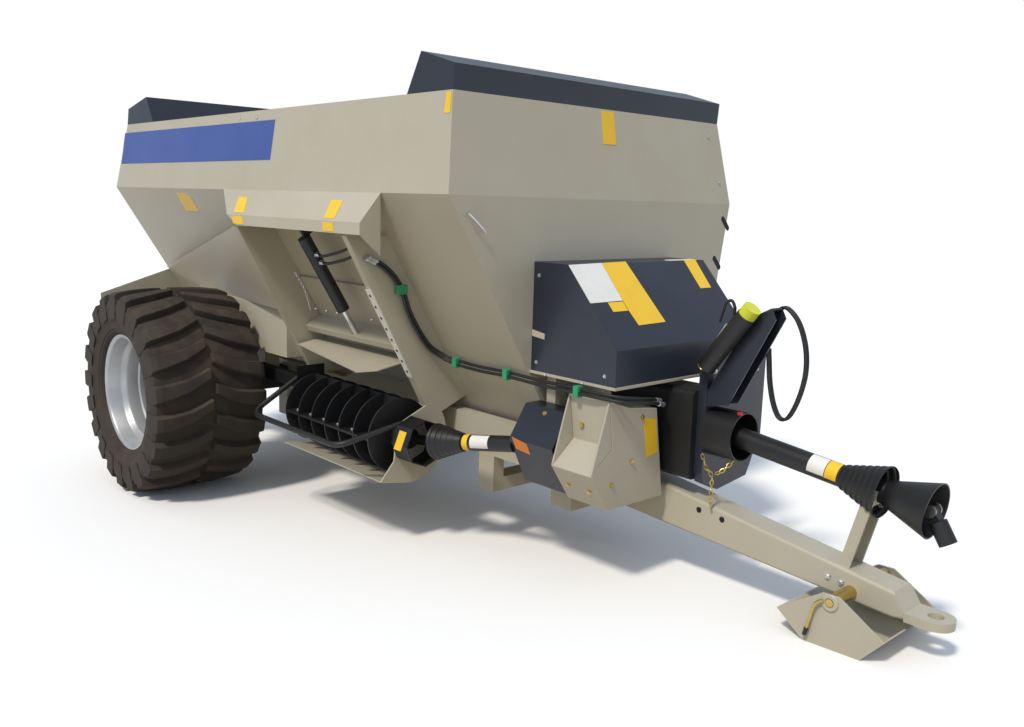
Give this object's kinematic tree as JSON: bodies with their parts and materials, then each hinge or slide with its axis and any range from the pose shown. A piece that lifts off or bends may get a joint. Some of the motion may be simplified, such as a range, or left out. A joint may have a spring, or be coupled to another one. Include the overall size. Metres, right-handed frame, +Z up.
{
  "type": "manure spreader",
  "caption": "Side-discharge manure spreader trailer: V-shaped hopper with floor auger, discharge rotor under a sliding door, single axle, drawbar and driveline.",
  "frame": {"origin": "on the ground, at the centre of the parked machine's outline", "axes": "+X forward towards the towing eye, +Y to the machine's left, +Z up"},
  "size_m": [4.9046, 2.645, 2.142],
  "materials": {
    "body_paint": "warm grey-beige paint, semi-gloss",
    "cover_paint": "blue-black paint, semi-gloss",
    "rim_paint": "silver wheel paint",
    "tyre_rubber": "dusty black",
    "black_plastic": "moulded, slightly glossy",
    "bare_steel": "worn",
    "zinc_steel": "yellow zinc plate",
    "yellow_plastic": "moulded",
    "white_paint": "gloss",
    "lamp_plastic": "red lens"
  },
  "bodies": {
    "chassis": {"auger_trough": "body_paint", "axle_beam": "cover_paint", "axle_box_left": "body_paint", "axle_box_right": "body_paint", "bell_guard": "black_plastic", "chassis_rails": "body_paint", "corner_gusset": "body_paint", "cover_shelf": "body_paint", "document_cap": "yellow_plastic", "document_tube": "black_plastic", "door_hood": "body_paint", "drawbar": "body_paint", "drive_cover": "cover_paint", "fairing": "body_paint", "flap_rod": "bare_steel", "front_end_plate": "body_paint", "front_spill_guard": "cover_paint", "gear_case": "body_paint", "gearbox": "cover_paint", "gearbox_guard": "cover_paint", "guard_rail": "cover_paint", "hopper_front_panel": "body_paint", "hopper_left_panel": "body_paint", "hopper_rear_panel": "body_paint", "hopper_right_panel": "body_paint", "hose_post": "cover_paint", "indicator_plate": "white_paint", "lamp_board": "body_paint", "pto_bell": "black_plastic", "pto_cradle": "body_paint", "ram_barrel": "body_paint", "rear_bearing_plate": "cover_paint", "rear_lamps": "lamp_plastic", "rear_rib": "body_paint", "rear_spill_guard": "cover_paint", "rotor_housing": "body_paint", "shaft_box": "cover_paint", "side_shaft_guard": "black_plastic", "stand_pin_left": "zinc_steel", "stand_pin_right": "zinc_steel", "towing_eye": "body_paint"},
    "wheel_right": {"tyre_right": "tyre_rubber", "rim_right": "rim_paint"},
    "wheel_left": {"tyre_left": "tyre_rubber", "rim_left": "rim_paint"},
    "auger": {"auger": "bare_steel"},
    "rotor": {"rotor": "body_paint"},
    "door": {"door_plate": "body_paint", "ram_rod": "bare_steel"},
    "deflector": {"deflector_flap": "body_paint"},
    "stand": {"stand_foot": "body_paint"},
    "pto_guard": {"pto_tube": "black_plastic", "pto_cone": "black_plastic"},
    "pto_shaft": {"pto_shaft": "bare_steel"},
    "pto_yoke": {"pto_yoke": "bare_steel"}
  },
  "joints": [
    {"name": "wheel_right_spin", "type": "hinge", "parent": "chassis", "child": "wheel_right", "pos_m": [-1.27991, -1.03, 0.538], "axis": [0, 1, 0], "continuous": true},
    {"name": "wheel_left_spin", "type": "hinge", "parent": "chassis", "child": "wheel_left", "pos_m": [-1.27991, 1.03, 0.538], "axis": [0, 1, 0], "continuous": true},
    {"name": "auger_spin", "type": "hinge", "parent": "chassis", "child": "auger", "pos_m": [-0.76385, 0, 0.62439], "axis": [0.9995, 0, -0.0323], "continuous": true},
    {"name": "rotor_spin", "type": "hinge", "parent": "chassis", "child": "rotor", "pos_m": [-0.11968, -0.635, 0.49553], "axis": [0.9995, 0, -0.0323], "continuous": true},
    {"name": "door_slide", "type": "slide", "parent": "chassis", "child": "door", "axis": [0.0276, -0.5208, 0.8533], "range_m": [0, 0.12]},
    {"name": "deflector_hinge", "type": "hinge", "parent": "chassis", "child": "deflector", "pos_m": [-0.10903, -0.48548, 0.82535], "axis": [0.9995, 0, -0.0323], "range_deg": [-12, 20]},
    {"name": "stand_pivot", "type": "hinge", "parent": "chassis", "child": "stand", "pos_m": [2.12185, 0, 0.166], "axis": [0, 1, 0], "range_deg": [-8, 8]},
    {"name": "pto_lift", "type": "hinge", "parent": "chassis", "child": "pto_guard", "pos_m": [1.57519, 0, 0.61888], "axis": [0, -1, 0], "range_deg": [0, 12]},
    {"name": "pto_spin", "type": "hinge", "parent": "pto_guard", "child": "pto_shaft", "pos_m": [1.57519, 0, 0.61888], "axis": [0.9888, 0, -0.149], "continuous": true},
    {"name": "yoke_swing", "type": "hinge", "parent": "pto_shaft", "child": "pto_yoke", "pos_m": [2.35176, 0, 0.50185], "axis": [0, 1, 0], "range_deg": [-45, 5]}
  ]
}
